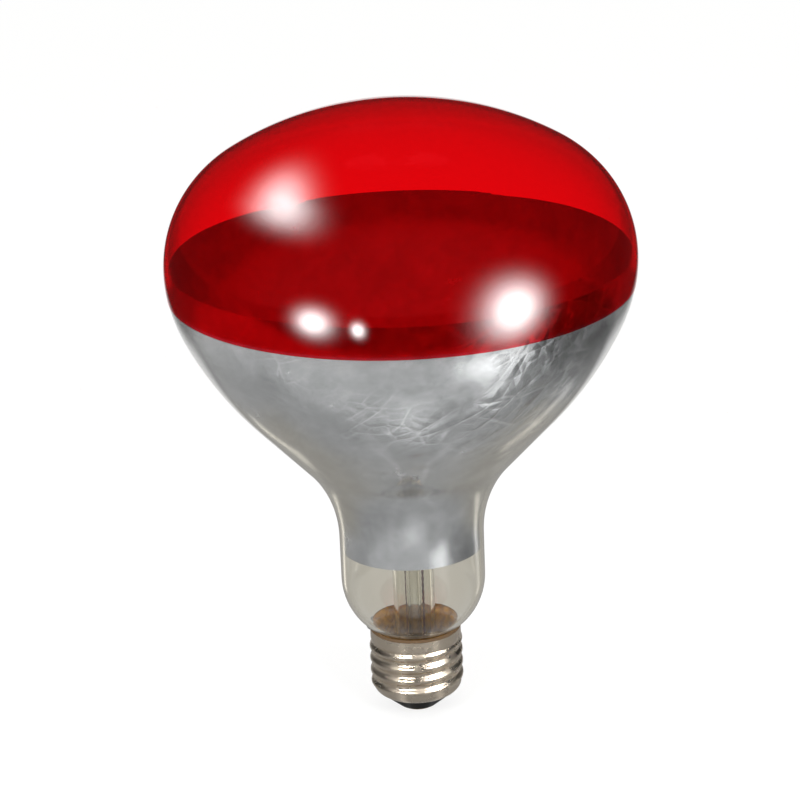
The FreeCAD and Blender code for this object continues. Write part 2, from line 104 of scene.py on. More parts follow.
class BulbSizes(PropertyGroup):
    """The blown bulb's outline, in tangent arcs from the crown down to the seal, and its coats."""

    wall: length("Glass wall", "Thickness of the blown glass", 1.0)
    crown_radius: length("Crown radius", "Arc over the middle of the red face", 90.7)
    knuckle_radius: length("Knuckle radius", "Arc that turns the face down to the equator", 34.2)
    bowl_upper_radius: length("Upper bowl radius", "Arc just under the equator", 38.6)
    bowl_upper_sweep: angle("Upper bowl sweep", "Turn of the arc under the equator", 24.8)
    bowl_lower_radius: length("Lower bowl radius", "Long arc down to the cone", 99.0)
    cone_length: length("Cone length", "Straight run between the bowl and the neck", 20.0)
    neck_fillet: length("Neck fillet", "Hollow arc from the cone into the neck", 32.9)
    neck_diameter: length("Neck diameter", "Outside of the straight neck", 40.2)
    neck_length: length("Neck length", "Straight run of the neck", 12.5)
    shoulder_radius: length("Shoulder radius", "Arc from the neck in to the base", 18.3)
    seal_diameter: length("Seal diameter", "Glass inside the screw shell", 22.0)
    seal_fillet: length("Seal fillet", "Hollow arc from the shoulder down to the seal", 2.5)
    film_gap: length("Film gap", "Hairline between the glass and each coat on it", 0.02)
    film: length("Film thickness", "Thickness at which both coats are drawn", 0.12)
    outline_step: length("Outline step", "Longest step round the arcs of the outline", 1.3)
    straight_step: length("Straight step", "Longest step down the straight runs of the outline", 1.95)
    segments: count("Segments", "Divisions round the bulb", 192)


class BaseSizes(PropertyGroup):
    """Cement between the glass and the screw shell."""

    cement_gap: length("Cement gap", "Hairline between the cement and the glass", 0.05)
    cement_thread: length("Cement in thread", "Diameter of the cement inside the rolled thread", 23.72)
    cement_collar: length("Cement in collar", "Diameter of the cement inside the plain collar", 24.7)
    collar_depth: length("Collar depth", "Depth of the plain collar below the rim", 2.85)


class WireSizes(PropertyGroup):
    """Twisted leads and the wound filament."""

    lead_radius: length("Lead radius", "Distance of both leads from the axis inside the stem", 3.4)
    lead_azimuth: angle("Lead azimuth", "Side of the axis on which the centre lead runs", -45.0)
    lead_bend: length("Lead bend", "Height at which the centre lead turns to the axis", 10.3)
    eyelet_top: length("Eyelet top", "Height at which the centre lead reaches the axis", 8.3)
    flare_rim: length("Flare rim", "Height at which the side lead turns out under the glass", 13.0)
    side_azimuth: angle("Side azimuth", "Side on which the side lead comes up to the rim", 165.0)
    side_radius: length("Side radius", "Side lead's distance from the axis inside the cement", 11.46)
    rim_inside: length("Inside the rim", "Side lead's distance from the axis inside the collar", 12.15)
    rim_outside: length("Outside the rim", "Side lead's distance from the axis outside the collar", 12.98)
    rim_rise: length("Rim rise", "Height of the side lead's middle over the rim", 0.225)
    rim_bend: length("Rim bend", "Run of the side lead's bends over the rim", 0.15)
    rim_drop: length("Rim drop", "Run of the side lead down the outside of the collar", 1.2)
    centre_lead: length("Centre lead", "Across both strands of the centre lead", 0.7)
    side_lead: length("Side lead", "Across both strands of the side lead", 0.4)
    strand_run: length("Straight run", "Straight lead kept before each bend", 4.0)
    strand_twist: length("Strand twist", "Length of one full twist of a lead", 4.0)
    coil_diameter: length("Coil diameter", "Outside of the filament's turns", 1.2)
    coil_wire: length("Coil wire", "Tungsten wire of the filament", 0.22)
    coil_pitch: length("Coil pitch", "Spacing of the filament's turns", 0.46)
    ring_radius: length("Ring radius", "Circle on which the filament's corners lie", 15.0)
    ring_start: angle("Ring start", "Azimuth of the filament's first end", -15.0)
    span_angle: angle("Span angle", "Turn about the axis of one span of the filament", -60.0)
    filament_bend: length("Filament bend", "Run of the filament's bend at each support", 2.5)
    spans: count("Spans", "Spans of the filament between its ends and supports", 4)
    strand_points: count("Strand points", "Points in each twist of a strand", 16)
    strand_sides: count("Strand sides", "Sides of a strand", 8)
    coil_points: count("Coil points", "Points in each turn of the filament", 12)
    coil_sides: count("Coil sides", "Sides of the filament's wire", 6)


class Finishes(PropertyGroup):
    """Colours of the lamp's materials."""

    glass: colour("Glass", "Soda-lime glass of the bulb", "#FDFDFB")
    stem_glass: colour("Stem glass", "Lead glass of the stem", "#F6F5EF")
    lacquer: colour("Lacquer", "Light that passes once through the red lacquer", "#F83848")
    mirror: colour("Mirror", "Aluminium coat in the bowl", "#BABCC0")
    # The mirror fold colour is a painted highlight along the folds and creases, and also the colour of
    # brighter random clouds
    mirror_fold: colour("Mirror fold", "Folds and bright clouds in the aluminium coat", "#F2F4F8")
    nickel: colour("Nickel", "Plating on the screw shell", "#D6C9B7")
    black_glass: colour("Black glass", "Insulator under the screw shell", "#100E0C")
    brass: colour("Brass", "Centre contact", "#C9A45C")
    solder: colour("Solder", "Tin and lead on the contact and at the rim", "#A8A8A6")
    cement: colour("Cement", "Phenolic basing cement", "#A87A20")
    cement_dark: colour("Dark cement", "Darker grains in the cement", "#74521A")
    cement_rim: colour("Cement rim", "Scorched cement over the rim of the shell", "#5C4A38")
    copper: colour("Copper", "Leads below the press", "#5A2E26")
    lead_nickel: colour("Lead nickel", "Leads above the press", "#B9B4A8")
    molybdenum: colour("Molybdenum", "Filament supports", "#9A9A9C")
    tungsten: colour("Tungsten", "Filament", "#6B6B70")


class PatternSizes(PropertyGroup):
    """Real sizes of the patterns in the materials."""

    bulb_ripple: length("Bulb ripple", "Width of the waves in the blown bulb", 22.0)
    stem_ripple: length("Stem ripple", "Width of the waves in the drawn stem", 9.0)
    mirror_fold: length("Mirror fold", "Spacing of the slanting folds in the aluminium coat", 6.0)
    fold_slant: angle("Fold slant", "Tilt of those folds", 35.0)
    mirror_crease: length("Mirror crease", "Spacing of the short creases in the aluminium coat", 5.0)
    mirror_patch: length("Mirror patch", "Size of the crumpled patches in the aluminium coat", 24.0)
    mirror_cloud: length("Mirror cloud", "Size of the hazy clouds in the aluminium coat", 10.0)
    crumple_side: length("Crumple side", "Distance to each side over which the crumpling grows", 45.0)
    crumple_front: length("Crumple front", "Place along Y where the crumpling is full", -5.0)
    crumple_back: length("Crumple back", "Place along Y where the crumpling has faded", 15.0)
    crumple_foot: length("Crumple foot", "Height at which the crumpling starts", 82.0)
    crumple_full: length("Crumple full", "Height at which the crumpling is full", 98.0)
    plating_cloud: length("Plating cloud", "Size of the clouds in the shell's gloss", 6.0)
    brass_grain: length("Brass grain", "Grain of the pressed contact", 0.8)
    solder_grain: length("Solder grain", "Grain of the set solder", 0.6)
    lead_grain: length("Lead grain", "Grain of the drawn leads", 0.5)
    support_grain: length("Support grain", "Grain of the filament's supports", 0.4)
    tungsten_grain: length("Tungsten grain", "Grain of the filament's wire", 0.3)
    black_glass_flow: length("Black glass flow", "Width of the flow marks in the insulator", 2.5)
    cement_grain: length("Cement grain", "Size of the grains in the cement", 1.6)
    scorch_start: length("Scorch start", "Depth inside the cement's edge where its scorching starts", 0.25)
    scorch_full: length("Scorch full", "Depth inside the cement's edge where its scorching is full", 0.1)


class StageSettings(PropertyGroup):
    """Camera, floor and studio light."""

    camera_back: length("Camera back", "Distance of the camera in front of the lamp's axis", 711.3)
    camera_height: length("Camera height", "Height of the camera above the floor", 352.3)
    camera_pitch: angle("Camera pitch", "Tilt of the camera below the horizon", 19.93)
    camera_roll: angle("Camera roll", "Turn of the camera about its line of sight", 2.3)
    camera_lens: FloatProperty(name="Lens", description="Focal length in millimetres", default=124.7)
    camera_shift: FloatVectorProperty(
        name="Shift",
        description="Offset of the frame from the line of sight",
        default=(-0.0075, -0.0096),
        size=2,
    )
    floor_size: length("Floor size", "Side of the floor", 8000.0)
    floor: colour("Floor", "Pale floor", "#F4F4F2")
    warm_floor: colour("Warm floor", "Floor that the clear glass shows", "#FAF3E4")


# Meshes

def start_mesh(name):
    """A single vertex at the origin, in edit mode, left selected."""
    if bpy.context.mode != "OBJECT":
        bpy.ops.object.mode_set(mode="OBJECT")
    bpy.ops.object.select_all(action="DESELECT")
    bpy.ops.mesh.primitive_plane_add(size=1)
    piece = bpy.context.object
    piece.name = name
    piece.data.name = name
    bpy.ops.object.mode_set(mode="EDIT")
    bpy.ops.mesh.merge(type="CENTER")
    return piece


def turned(name, outline, segments):
    """Spins an outline of (radius, height) points about the lamp's axis into a closed skin."""
    piece = start_mesh(name)
    points = [Vector((radius, 0.0, height)) for radius, height in outline]
    points.append(points[0])
    bpy.ops.transform.translate(value=points[0])
    for here, following in zip(points, points[1:]):
        bpy.ops.mesh.extrude_vertices_move(TRANSFORM_OT_translate={"value": following - here})
    bpy.ops.mesh.select_all(action="SELECT")
    bpy.ops.mesh.remove_doubles(threshold=MERGE_DISTANCE)
    bpy.ops.mesh.spin(steps=segments, angle=math.tau, center=ORIGIN, axis=AXIS)
    bpy.ops.mesh.select_all(action="SELECT")
    bpy.ops.mesh.remove_doubles(threshold=MERGE_DISTANCE)
    bpy.ops.mesh.normals_make_consistent(inside=False)
    bpy.ops.object.mode_set(mode="OBJECT")
    bpy.ops.object.shade_smooth_by_angle(angle=SKIN_CREASE)
    return piece


def smooth_line(points):
    """Points along the smooth line of a NURBS path that the given points steer."""
    bpy.ops.object.select_all(action="DESELECT")
    bpy.ops.curve.primitive_nurbs_path_add()
    path = bpy.context.object
    path.data.splines.clear()
    spline = path.data.splines.new("NURBS")
    spline.points.add(len(points) - 1)
    for control, place in zip(spline.points, points):
        control.co = (*place, 1.0)
    spline.order_u = 3
    spline.use_endpoint_u = True
    spline.resolution_u = 24
    mesh = bpy.data.meshes.new_from_object(path)
    line = [vertex.co.copy() for vertex in mesh.vertices]
    bpy.data.meshes.remove(mesh)
    bpy.data.objects.remove(path)
    return line


def wound(line, radius, pitch, phase, points_per_turn):
    """Points of a wire wound about a line."""
    points = []
    side = (line[1] - line[0]).orthogonal().normalized()
    before = line[1] - line[0]
    travelled = 0.0
    step = pitch / points_per_turn
    for here, following in zip(line, line[1:]):
        run = following - here
        side.rotate(before.rotation_difference(run))
        before = run
        while len(points) * step <= travelled + run.length:
            along = len(points) * step - travelled
            turn = Quaternion(run.normalized(), phase + math.tau * len(points) / points_per_turn)
            points.append(here + run.normalized() * along + turn @ side * radius)
        travelled += run.length
    return points


def wire_mesh(name, routes, diameter, sides):
    """Round wires along one or more lists of points, as one mesh."""
    bpy.ops.object.select_all(action="DESELECT")
    bpy.ops.curve.primitive_nurbs_path_add()
    piece = bpy.context.object
    piece.name = name
    curve = piece.data
    curve.splines.clear()
    curve.dimensions = "3D"
    curve.bevel_depth = diameter / 2
    curve.bevel_resolution = sides // 2 - 2
    curve.use_fill_caps = True
    for route in routes:
        spline = curve.splines.new("POLY")
        spline.points.add(len(route) - 1)
        for point, place in zip(spline.points, route):
            point.co = (*place, 1.0)
    bpy.ops.object.convert(target="MESH")
    bpy.ops.object.shade_smooth_by_angle(angle=WIRE_CREASE)
    piece.data.name = name
    return piece


def finish_piece(piece, material, slot, *replaced):
    """Gives a piece its material and its body, and hides the nodes that it stands for; its slot is not used.
    """
    piece.data.materials.clear()
    piece.data.materials.append(material)
    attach(piece, "root")
    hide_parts(*replaced)


def dress_node(name, material):
    """Gives a node of the frame its material."""
    node = NODES[name]
    if not node.material_slots:
        node.data.materials.append(material)
    for material_slot in node.material_slots:
        material_slot.material = material


def on_ring(radius, azimuth, height):
    """A point at a distance from the lamp's axis."""
    return Vector((radius * math.cos(azimuth), radius * math.sin(azimuth), height))


# Outline of the bulb

def direction(normal_angle):
    """A unit step of a half section, at an angle above the outward direction."""
    return Vector((math.cos(normal_angle), math.sin(normal_angle)))


def bulb_arcs(size):
    """The arcs from the crown down: centre, radius (negative where hollow), and the normal's two angles."""
    low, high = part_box("glass_envelope")
    bulb_radius, crown_z = high.x, high.z
    neck_radius, seal_radius = size.neck_diameter / 2, size.seal_diameter / 2
    knuckle_x = bulb_radius - size.knuckle_radius
    crown_drop = math.sqrt((size.crown_radius - size.knuckle_radius) ** 2 - knuckle_x**2)
    crown = Vector((0.0, crown_z - size.crown_radius))
    equator_z = crown.y + crown_drop
    knuckle = Vector((knuckle_x, equator_z))
    knuckle_angle = math.atan2(crown_drop, knuckle_x)

    sweep = size.bowl_upper_sweep
    bowl_step = size.bowl_lower_radius - size.bowl_upper_radius
    closing_run = neck_radius + size.neck_fillet - bulb_radius + size.bowl_upper_radius
    closing_run += bowl_step * math.cos(sweep)
    arcs_radius = size.bowl_lower_radius + size.neck_fillet
    cone_angle = math.acos(closing_run / math.hypot(arcs_radius, size.cone_length))
    cone_angle -= math.atan2(size.cone_length, arcs_radius)
    cone_normal = direction(-cone_angle)
    cone_fall = Vector((cone_normal.y, -cone_normal.x)) * size.cone_length

    upper = Vector((bulb_radius - size.bowl_upper_radius, equator_z))
    lower = upper - direction(-sweep) * bowl_step
    fillet = lower + cone_normal * arcs_radius + cone_fall
    shoulder_x = neck_radius - size.shoulder_radius
    shoulder = Vector((shoulder_x, fillet.y - size.neck_length))
    reach = size.shoulder_radius + size.seal_fillet
    shoulder_angle = math.acos((seal_radius + size.seal_fillet - shoulder_x) / reach)
    seal = shoulder + direction(-shoulder_angle) * reach
    foot = Vector((seal_radius, low.z))
    return [
        (crown, size.crown_radius, math.pi / 2, knuckle_angle),
        (knuckle, size.knuckle_radius, knuckle_angle, 0.0),
        (upper, size.bowl_upper_radius, 0.0, -sweep),
        (lower, size.bowl_lower_radius, -sweep, -cone_angle),
        (fillet, -size.neck_fillet, -cone_angle, 0.0),
        (shoulder, size.shoulder_radius, 0.0, -shoulder_angle),
        (seal, -size.seal_fillet, -shoulder_angle, 0.0),
        (foot, 0.0, 0.0, 0.0),
    ]


def bulb_wall(size, inset):
    """Points (radius, height) down the bulb's wall, moved in by the inset, from the crown to the seal."""
    corners = []
    for centre, radius, start, end in bulb_arcs(size):
        steps = max(1, math.ceil(abs(radius * (end - start)) / size.outline_step))
        for step in range(steps + 1):
            turn = start + (end - start) * step / steps
            corners.append(centre + direction(turn) * (radius - inset))
    points = [corners[0]]
    for corner in corners[1:]:
        run = corner - points[-1]
        if run.length < MERGE_DISTANCE:
            continue
        steps = max(1, math.ceil(run.length / size.straight_step))
        start = points[-1]
        points += [start + run * step / steps for step in range(1, steps + 1)]
    return points


def cut_wall(points, low, high):
    """The part of a falling outline between two heights, with a point on each."""
    kept = []
    for above, below in zip(points, points[1:]):
        for level in (high, low):
            if above.y > level > below.y:
                kept.append(above.lerp(below, (above.y - level) / (above.y - below.y)))
        if low <= below.y <= high:
            kept.append(below)
    if points[0].y <= high:
        kept.insert(0, points[0])
    return kept


def between_walls(outer, inner):
    """A closed section: down the outer wall and back up the inner one."""
    return [tuple(point) for point in outer + inner[::-1]]


# Materials

# The mirror's folds are drawn out along their slant, and its creases are shallower than its folds
FOLD_STRETCH = (0.4, 1.0, 1.0)
CREASE_SHARE = 0.6


def add_node(tree, kind, settings=None, links=None):
    """Adds a node, sets its properties and sockets, and links its sockets to outputs.

    A node among the links stands for its first output.
    """
    node = tree.nodes.new(kind)
    for name, value in (settings or {}).items():
        if isinstance(name, str) and hasattr(node, name):
            setattr(node, name, value)
        else:
            node.inputs[name].default_value = value
    for name, source in (links or {}).items():
        output = source.outputs[0] if isinstance(source, bpy.types.Node) else source
        tree.links.new(output, node.inputs[name])
    return node


def new_material(name):
    """An empty material and its node tree."""
    material = bpy.data.materials.new(name)
    material.use_nodes = True
    material.node_tree.nodes.clear()
    return material, material.node_tree


def lit_through(tree, body, tint):
    """A body's shader that lets the light of lamps through in its tint."""
    clear = add_node(tree, "ShaderNodeBsdfTransparent", {"Color": tint})
    path = add_node(tree, "ShaderNodeLightPath")
    return add_node(tree, "ShaderNodeMixShader", None, {0: path.outputs["Is Shadow Ray"], 1: body, 2: clear})


def glass_material(name, tint, ior, ripple, strength):
    """Clear glass: mirror-smooth, with the slow ripple of its making, and lamps shine through it."""
    material, tree = new_material(name)
    place = add_node(tree, "ShaderNodeTexCoord").outputs["Object"]
    wave = add_node(tree, "ShaderNodeTexNoise", {"Scale": 1 / ripple, "Detail": 1.0}, {"Vector": place})
    bump = add_node(tree, "ShaderNodeBump", {"Strength": strength, "Distance": 0.2 * MM}, {"Height": wave})
    body = add_node(
        tree,
        "ShaderNodeBsdfPrincipled",
        {"Base Color": tint, "Roughness": 0.0, "IOR": ior, "Transmission Weight": 1.0},
        {"Normal": bump},
    )
    add_node(tree, "ShaderNodeOutputMaterial", None, {"Surface": lit_through(tree, body, tint)})
    return material


def red_lacquer_material(finish):
    """Stoved red lacquer on glass: clear deep red, with a gloss on its open side only.

    It is bonded to the glass, so it bends no light of its own: its IOR is 1, and only its coat mirrors.
    """
    material, tree = new_material("Red stoved lacquer")
    side = add_node(tree, "ShaderNodeNewGeometry").outputs["Backfacing"]
    gloss = add_node(tree, "ShaderNodeMath", {"operation": "SUBTRACT", 0: 1.0}, {1: side})
    clear = {"Roughness": 0.0, "IOR": 1.0, "Transmission Weight": 1.0}
    coat = {"Coat Roughness": 0.0, "Coat IOR": 1.3}
    body = add_node(
        tree,
        "ShaderNodeBsdfPrincipled",
        {"Base Color": finish.lacquer, **clear, **coat},
        {"Coat Weight": gloss},
    )
    add_node(tree, "ShaderNodeOutputMaterial", None, {"Surface": lit_through(tree, body, finish.lacquer)})
    return material


def crumpled_places(tree, place, pattern):
    """How crumpled the mirror is at a place: in patches in front, above the neck and more on one side."""
    parts = add_node(tree, "ShaderNodeSeparateXYZ", None, {0: place})
    reach = pattern.crumple_side
    fades = []
    for axis, start, end, low, high in (
        ("X", -reach, reach, -0.2, 0.15),
        ("Y", pattern.crumple_back, pattern.crumple_front, 0.15, 1.0),
        ("Z", pattern.crumple_foot, pattern.crumple_full, 0.0, 1.0),
    ):
        span = {"From Min": start, "From Max": end, "To Min": low, "To Max": high}
        fades.append(add_node(tree, "ShaderNodeMapRange", span, {"Value": parts.outputs[axis]}))
    side, front, above_neck = fades
    patches = add_node(
        tree, "ShaderNodeTexNoise", {"Scale": 1 / pattern.mirror_patch, "Detail": 3.0}, {"Vector": place}
    )
    uneven = add_node(tree, "ShaderNodeMath", {"operation": "ADD"}, {0: patches, 1: side})
    where = add_node(
        tree,
        "ShaderNodeMapRange",
        {"From Min": 0.36, "From Max": 0.62, "To Min": 0.1, "interpolation_type": "SMOOTHSTEP"},
        {"Value": uneven},
    )
    seen = add_node(tree, "ShaderNodeMath", {"operation": "MULTIPLY"}, {0: above_neck, 1: front})
    return add_node(tree, "ShaderNodeMath", {"operation": "MULTIPLY"}, {0: where, 1: seen})


def mirror_material(finish, pattern):
    """Vacuum-coated aluminium: a hazy mirror in small slanting facets, with folds, most on one side, and
    painted highlights along its folds and creases.
    """
    material, tree = new_material("Vacuum-coated aluminium")
    place = add_node(tree, "ShaderNodeTexCoord").outputs["Object"]
    slanted = add_node(
        tree,
        "ShaderNodeVectorRotate",
        {"rotation_type": "Y_AXIS", "Angle": pattern.fold_slant},
        {"Vector": place},
    )
    drawn_out = add_node(
        tree, "ShaderNodeVectorMath", {"operation": "MULTIPLY", 1: FOLD_STRETCH}, {0: slanted}
    )
    # Along each fold and crease edge, a light line of the fold colour is a painted highlight
    edges, painted_fold_highlights = [], []
    for source, width, line_width, painted_highlight_level in (
        (drawn_out, pattern.mirror_fold, 0.05, 0.45),
        (place, pattern.mirror_crease, 0.04, 0.25),
    ):
        edge = add_node(
            tree,
            "ShaderNodeTexVoronoi",
            {"feature": "DISTANCE_TO_EDGE", "Scale": 1 / width},
            {"Vector": source},
        )
        line = add_node(
            tree,
            "ShaderNodeMapRange",
            {"From Max": line_width, "To Min": painted_highlight_level, "To Max": 0.0, "interpolation_type": "SMOOTHSTEP"},
            {"Value": edge},
        )
        edges.append(edge)
        painted_fold_highlights.append(line)
    folds, creases = edges
    crumpled = crumpled_places(tree, place, pattern)
    drawn = add_node(tree, "ShaderNodeMath", {"operation": "MAXIMUM"}, {0: painted_fold_highlights[0], 1: painted_fold_highlights[1]})
    shown = add_node(tree, "ShaderNodeMath", {"operation": "MULTIPLY"}, {0: drawn, 1: crumpled})
    cloud = add_node(
        tree,
        "ShaderNodeTexNoise",
        {"Scale": 1 / pattern.mirror_cloud, "Detail": 8.0, "Roughness": 0.65},
        {"Vector": place},
    )
    hazed = add_node(
        tree, "ShaderNodeMapRange", {"From Min": 0.35, "From Max": 0.75, "To Max": 0.35}, {"Value": cloud}
    )
    # Painted highlights on the folds, with random brighter clouds, turn the aluminium's colour towards the
    # fold colour
    bright = add_node(tree, "ShaderNodeMath", {"operation": "ADD", "use_clamp": True}, {0: shown, 1: hazed})
    tint = add_node(
        tree, "ShaderNodeMix", {"data_type": "RGBA", 6: finish.mirror, 7: finish.mirror_fold}, {0: bright}
    )
    facets = add_node(
        tree, "ShaderNodeMath", {"operation": "MULTIPLY_ADD", 1: CREASE_SHARE}, {0: creases, 2: folds}
    )
    height = add_node(tree, "ShaderNodeMath", {"operation": "MULTIPLY"}, {0: facets, 1: crumpled})
    bump = add_node(tree, "ShaderNodeBump", {"Strength": 0.8, "Distance": 1.0 * MM}, {"Height": height})
    rough = add_node(
        tree,
        "ShaderNodeMapRange",
        {"From Min": 0.3, "From Max": 0.7, "To Min": 0.15, "To Max": 0.28},
        {"Value": cloud},
    )
    body = add_node(
        tree,
        "ShaderNodeBsdfPrincipled",
        {"Metallic": 1.0},
        {"Base Color": tint.outputs[2], "Roughness": rough, "Normal": bump},
    )
    add_node(tree, "ShaderNodeOutputMaterial", None, {"Surface": body})
    return material


def metal_material(name, tint, grain, roughness, strength):
    """Drawn or plated metal with a fine uneven grain in its gloss."""
    material, tree = new_material(name)
    place = add_node(tree, "ShaderNodeTexCoord").outputs["Object"]
    noise = add_node(tree, "ShaderNodeTexNoise", {"Scale": 1 / grain, "Detail": 4.0}, {"Vector": place})
    rough = add_node(
        tree,
        "ShaderNodeMapRange",
        {"From Min": 0.3, "From Max": 0.7, "To Min": 0.8 * roughness, "To Max": 1.25 * roughness},
        {"Value": noise},
    )
    bump = add_node(tree, "ShaderNodeBump", {"Strength": strength, "Distance": 0.05 * MM}, {"Height": noise})
    body = add_node(
        tree,
        "ShaderNodeBsdfPrincipled",
        {"Base Color": tint, "Metallic": 1.0},
        {"Roughness": rough, "Normal": bump},
    )
    add_node(tree, "ShaderNodeOutputMaterial", None, {"Surface": body})
    return material


def black_glass_material(finish, pattern):
    """Moulded black glass: deep black, with its gloss dulled by wear and dust, and faint flow marks."""
    material, tree = new_material("Moulded black glass")
    place = add_node(tree, "ShaderNodeTexCoord").outputs["Object"]
    flow = add_node(
        tree, "ShaderNodeTexNoise", {"Scale": 1 / pattern.black_glass_flow, "Detail": 2.0}, {"Vector": place}
    )
    bump = add_node(tree, "ShaderNodeBump", {"Strength": 0.1, "Distance": 0.1 * MM}, {"Height": flow})
    body = add_node(
        tree,
        "ShaderNodeBsdfPrincipled",
        {"Base Color": finish.black_glass, "Roughness": 0.3, "IOR": 1.52, "Specular IOR Level": 0.01},
        {"Normal": bump},
    )
    add_node(tree, "ShaderNodeOutputMaterial", None, {"Surface": body})
    return material


def cement_material(finish, pattern, rim_radius):
    """Baked phenolic cement: a dull amber resin full of darker grains, scorched brown over the rim."""
    material, tree = new_material("Phenolic basing cement")
    place = add_node(tree, "ShaderNodeTexCoord").outputs["Object"]
    grains = add_node(
        tree, "ShaderNodeTexNoise", {"Scale": 1 / pattern.cement_grain, "Detail": 5.0}, {"Vector": place}
    )
    spread = add_node(tree, "ShaderNodeMapRange", {"From Min": 0.35, "From Max": 0.65}, {"Value": grains})
    mottled = add_node(
        tree, "ShaderNodeMix", {"data_type": "RGBA", 6: finish.cement_dark, 7: finish.cement}, {0: spread}
    )
    flat = add_node(tree, "ShaderNodeVectorMath", {"operation": "MULTIPLY", 1: (1.0, 1.0, 0.0)}, {0: place})
    radius = add_node(tree, "ShaderNodeVectorMath", {"operation": "LENGTH"}, {0: flat})
    at_rim = add_node(
        tree,
        "ShaderNodeMapRange",
        {"From Min": rim_radius - pattern.scorch_start, "From Max": rim_radius - pattern.scorch_full},
        {"Value": radius.outputs["Value"]},
    )
    scorched = add_node(
        tree,
        "ShaderNodeMix",
        {"data_type": "RGBA", 7: finish.cement_rim},
        {0: at_rim, 6: mottled.outputs[2]},
    )
    bump = add_node(tree, "ShaderNodeBump", {"Strength": 0.5, "Distance": 0.2 * MM}, {"Height": grains})
    body = add_node(
        tree,
        "ShaderNodeBsdfPrincipled",
        {"Roughness": 0.55, "Specular IOR Level": 0.0},
        {"Base Color": scorched.outputs[2], "Normal": bump},
    )
    add_node(tree, "ShaderNodeOutputMaterial", None, {"Surface": body})
    return material


# Pieces

class HEATLAMP_OT_blow_bulb(Operator):
    """Blow the glass bulb"""

    bl_idname = "heat_lamp.blow_bulb"
    bl_label = "Blow Bulb"

    def execute(self, context):
        size = context.scene.heat_lamp_bulb
        section = between_walls(bulb_wall(size, 0.0), bulb_wall(size, size.wall))
        bulb = turned("glass_bulb", section, size.segments)
        tint = context.scene.heat_lamp_finishes.glass
        ripple = context.scene.heat_lamp_patterns.bulb_ripple
        material = glass_material("Blown soda-lime glass", tint, ior=1.52, ripple=ripple, strength=0.02)
        finish_piece(bulb, material, "clear_glass", "glass_envelope")
        return {"FINISHED"}


class HEATLAMP_OT_coat_mirror(Operator):
    """Coat the inside of the bowl with aluminium"""

    bl_idname = "heat_lamp.coat_mirror"
    bl_label = "Coat Mirror"

    def execute(self, context):
        size = context.scene.heat_lamp_bulb
        low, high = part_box("mirror_coat")
        face = size.wall + size.film_gap
        walls = [cut_wall(bulb_wall(size, inset), low.z, high.z) for inset in (face, face + size.film)]
        film = turned("mirror_film", between_walls(*walls), size.segments)
        material = mirror_material(context.scene.heat_lamp_finishes, context.scene.heat_lamp_patterns)
        finish_piece(film, material, "aluminium_mirror", "mirror_coat")
        return {"FINISHED"}


class HEATLAMP_OT_coat_face(Operator):
    """Coat the face of the bulb with red lacquer"""

    bl_idname = "heat_lamp.coat_face"
    bl_label = "Coat Face"

    def execute(self, context):
        size = context.scene.heat_lamp_bulb
        low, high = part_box("red_lacquer")
        insets = (-size.film_gap - size.film, -size.film_gap)
        walls = [cut_wall(bulb_wall(size, inset), low.z, high.z) for inset in insets]
        film = turned("lacquer_face", between_walls(*walls), size.segments)
        material = red_lacquer_material(context.scene.heat_lamp_finishes)
        finish_piece(film, material, "red_lacquer", "red_lacquer")
        return {"FINISHED"}


class HEATLAMP_OT_finish_base(Operator):
    """Finish the screw shell, insulator, contact and solder"""

    bl_idname = "heat_lamp.finish_base"
    bl_label = "Finish Base"

    def execute(self, context):
        finish, pattern = context.scene.heat_lamp_finishes, context.scene.heat_lamp_patterns
        plating = metal_material(
            "Nickel-plated brass", finish.nickel, pattern.plating_cloud, roughness=0.27, strength=0.0
        )
        brass = metal_material(
            "Pressed brass", finish.brass, pattern.brass_grain, roughness=0.3, strength=0.2
        )
        solder = metal_material(
            "Tin-lead solder", finish.solder, pattern.solder_grain, roughness=0.35, strength=0.4
        )
        dress_node("screw_shell", plating)
        dress_node("base_insulator", black_glass_material(finish, pattern))
        dress_node("centre_contact", brass)
        dress_node("centre_solder", solder)
        dress_node("side_solder", solder)
        return {"FINISHED"}


class HEATLAMP_OT_pour_cement(Operator):
    """Pour the cement between the glass and the screw shell"""

    bl_idname = "heat_lamp.pour_cement"
    bl_label = "Pour Cement"

    def execute(self, context):
        bulb = context.scene.heat_lamp_bulb
        size = context.scene.heat_lamp_base
        low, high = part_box("basing_cement")
        tip_z = high.z - 2 * size.cement_gap
        rim_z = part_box("screw_shell")[1].z + size.cement_gap
        step_z = rim_z - size.collar_depth
        shell_side = [
            Vector((high.x, tip_z)),
            Vector((high.x, rim_z)),
            Vector((size.cement_collar / 2, rim_z)),
            Vector((size.cement_collar / 2, step_z)),
            Vector((size.cement_thread / 2, step_z)),
            Vector((size.cement_thread / 2, low.z)),
        ]
        glass_side = cut_wall(bulb_wall(bulb, -size.cement_gap), low.z, tip_z)
        ring = turned("cement_ring", between_walls(shell_side, glass_side), bulb.segments)
        finish, pattern = context.scene.heat_lamp_finishes, context.scene.heat_lamp_patterns
        finish_piece(ring, cement_material(finish, pattern, high.x), "basing_cement", "basing_cement")
        return {"FINISHED"}


